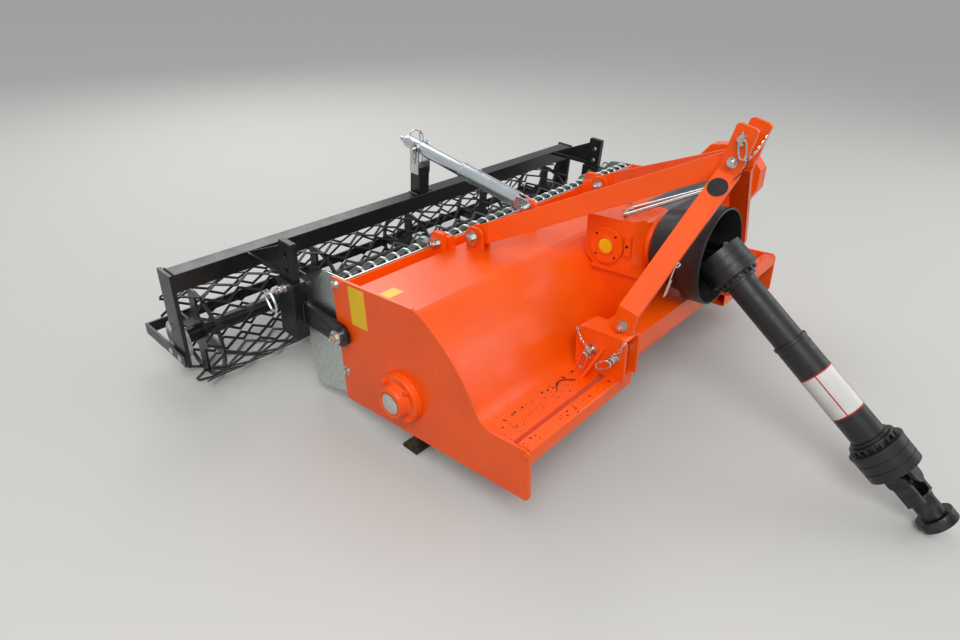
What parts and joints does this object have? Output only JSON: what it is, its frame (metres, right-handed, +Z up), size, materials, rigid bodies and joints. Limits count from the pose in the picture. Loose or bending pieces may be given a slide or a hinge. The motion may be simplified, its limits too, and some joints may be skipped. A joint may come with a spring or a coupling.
{
  "type": "rotary tiller",
  "caption": "Three-point rotary tiller with an orange hood, side drive, comb and a height-set mesh packer roller behind, its guarded driveline hanging to the floor.",
  "frame": {"origin": "Centre of the bounding box on the floor that the parked machine stands on.", "axes": "X to the machine's left, Y to its rear, Z up. The machine stands nose up by 5.4 degrees."},
  "size_m": [1.912, 2.0624, 0.8752],
  "materials": {
    "orange_paint": "semi-gloss",
    "black_paint": "semi-gloss",
    "galvanised": "satin",
    "bright_steel": "satin",
    "black_plastic": "matte",
    "worn_steel": "worn"
  },
  "bodies": {
    "chassis": {"side_plate_right": "orange_paint", "side_plate_left": "orange_paint", "hood_sheet": "orange_paint", "front_tube": "orange_paint", "rear_side_sheet_right": "galvanised", "rear_side_sheet_left": "galvanised", "hitch_cross_channel": "orange_paint", "hitch_bracket_right": "orange_paint", "hitch_bracket_left": "orange_paint", "lower_link_pins": "galvanised", "mast_bar_right": "orange_paint", "mast_bar_left": "orange_paint", "top_link_pin": "galvanised", "mast_bolt": "galvanised", "brace_right": "orange_paint", "brace_left": "orange_paint", "hood_ears": "orange_paint", "brace_bolts": "galvanised", "adjuster_front_pin": "galvanised", "gearbox_housing": "orange_paint", "gearbox_cover": "orange_paint", "gearbox_stand": "orange_paint", "gearbox_input_yoke": "bright_steel", "driveline_guard": "black_plastic", "side_drive_tube": "bright_steel", "side_drive_case": "orange_paint", "side_drive_cover": "orange_paint", "driveline_holder": "galvanised", "rotor_bearing_flange": "orange_paint", "comb_rail": "galvanised", "comb_rod": "black_paint", "comb_tines": "galvanised", "comb_lugs": "orange_paint", "comb_links": "galvanised", "arm_pivot_bolts": "galvanised"},
    "rotor": {"rotor_shaft": "orange_paint", "rotor_tines": "worn_steel"},
    "roller_frame": {"roller_arm_right": "black_paint", "roller_arm_left": "black_paint", "roller_post_right": "black_paint", "roller_post_left": "black_paint", "height_pins": "galvanised", "roller_beam": "black_paint", "beam_struts": "black_paint", "roller_end_plate_right": "black_paint", "roller_end_plate_left": "black_paint", "roller_bearings": "black_paint", "roller_scraper": "black_paint", "adjuster_post": "black_paint", "adjuster_clevis": "galvanised", "adjuster_rear_pin": "galvanised"},
    "roller": {"roller_mesh": "black_paint", "roller_core": "black_paint"},
    "adjuster_outer": {"adjuster_outer_tube": "galvanised"},
    "adjuster_inner": {"adjuster_inner_tube": "galvanised"},
    "driveline_rear": {"driveline_rear_guard": "black_plastic", "driveline_rear_yoke": "bright_steel"},
    "driveline_front": {"driveline_front_guard": "black_plastic", "driveline_front_yoke": "bright_steel"}
  },
  "joints": [
    {"name": "rotor_spin", "type": "hinge", "parent": "chassis", "child": "rotor", "pos_m": [0.05, 0.14199, 0.2], "axis": [1, 0, 0], "continuous": true},
    {"name": "roller_arms", "type": "hinge", "parent": "chassis", "child": "roller_frame", "pos_m": [0.05, 0.37608, 0.28529], "axis": [1, 0, 0], "range_deg": [-12, 0]},
    {"name": "roller_spin", "type": "hinge", "parent": "roller_frame", "child": "roller", "pos_m": [0.05, 0.86236, 0.152], "axis": [1, 0, 0], "continuous": true},
    {"name": "adjuster_tilt", "type": "hinge", "parent": "chassis", "child": "adjuster_outer", "pos_m": [0.01, 0.30517, 0.4909], "axis": [1, 0, 0], "range_deg": [-11.14, 0.5]},
    {"name": "adjuster_slide", "type": "slide", "parent": "adjuster_outer", "child": "adjuster_inner", "axis": [0, 0.9894, 0.1455], "range_m": [-0.001, 0.0447]},
    {"name": "driveline_pitch", "type": "hinge", "parent": "chassis", "child": "driveline_rear", "pos_m": [0.05, -0.31011, 0.51707], "axis": [1, 0, 0], "range_deg": [-40, 8]},
    {"name": "driveline_slide", "type": "slide", "parent": "driveline_rear", "child": "driveline_front", "axis": [0, -0.8233, -0.5676], "range_m": [-0.1, 0.1]}
  ],
  "couplings": [
    {"joint": "adjuster_tilt", "follows": "roller_arms", "ratio": 0.88635},
    {"joint": "adjuster_slide", "follows": "roller_arms", "m_per_rad": -0.20872}
  ]
}
